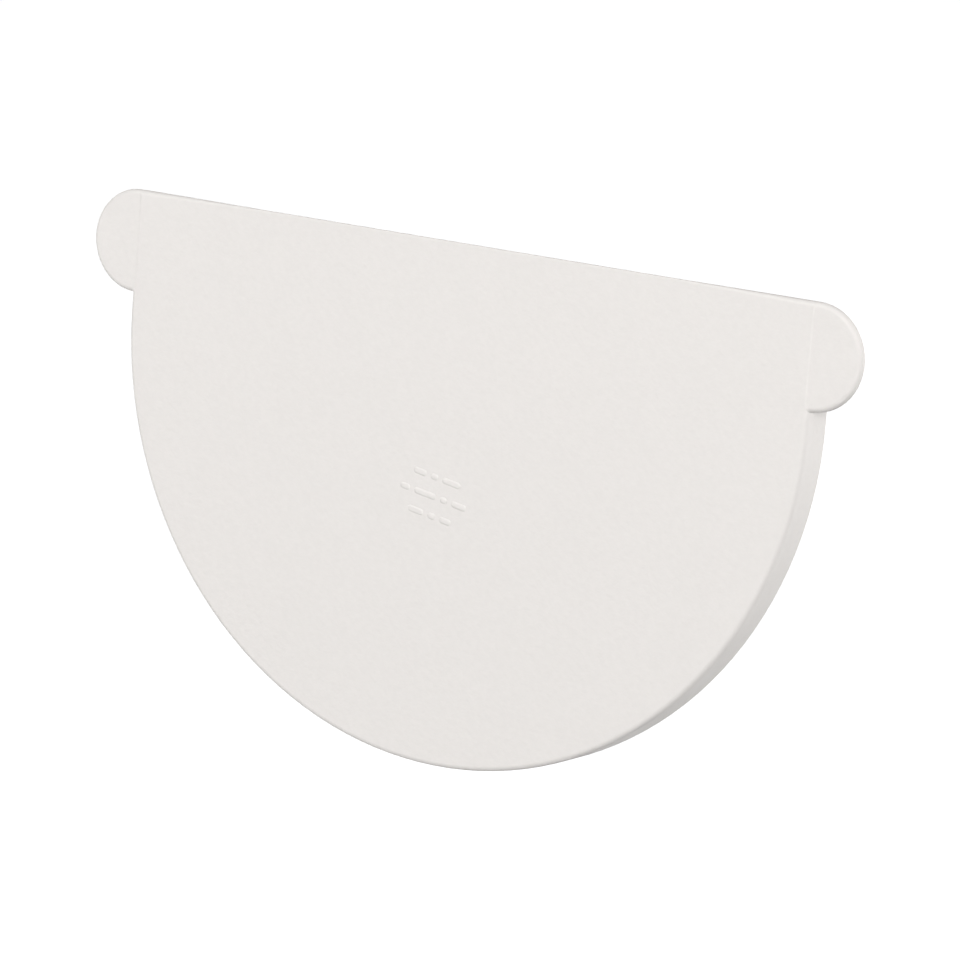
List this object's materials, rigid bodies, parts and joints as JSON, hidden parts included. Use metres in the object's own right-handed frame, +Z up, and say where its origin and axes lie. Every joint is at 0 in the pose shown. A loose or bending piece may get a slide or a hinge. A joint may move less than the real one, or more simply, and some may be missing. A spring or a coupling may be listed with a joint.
{
  "type": "gutter end cap",
  "caption": "Half-round gutter end cap pressed from white coated steel sheet, with a deep rim and a shallow round ear at each end of its straight top edge.",
  "frame": {"origin": "centre of the half round, on the inner face that the gutter's cut end butts against", "axes": "+X across the gutter, from one ear to the other; +Y back into the gutter, along its length; +Z up"},
  "size_m": [0.172, 0.0068, 0.0992],
  "materials": {
    "coated_sheet": "satin white polyester coat with a very fine grain"
  },
  "bodies": {
    "root": {"end_cap": "coated_sheet"}
  },
  "joints": []
}
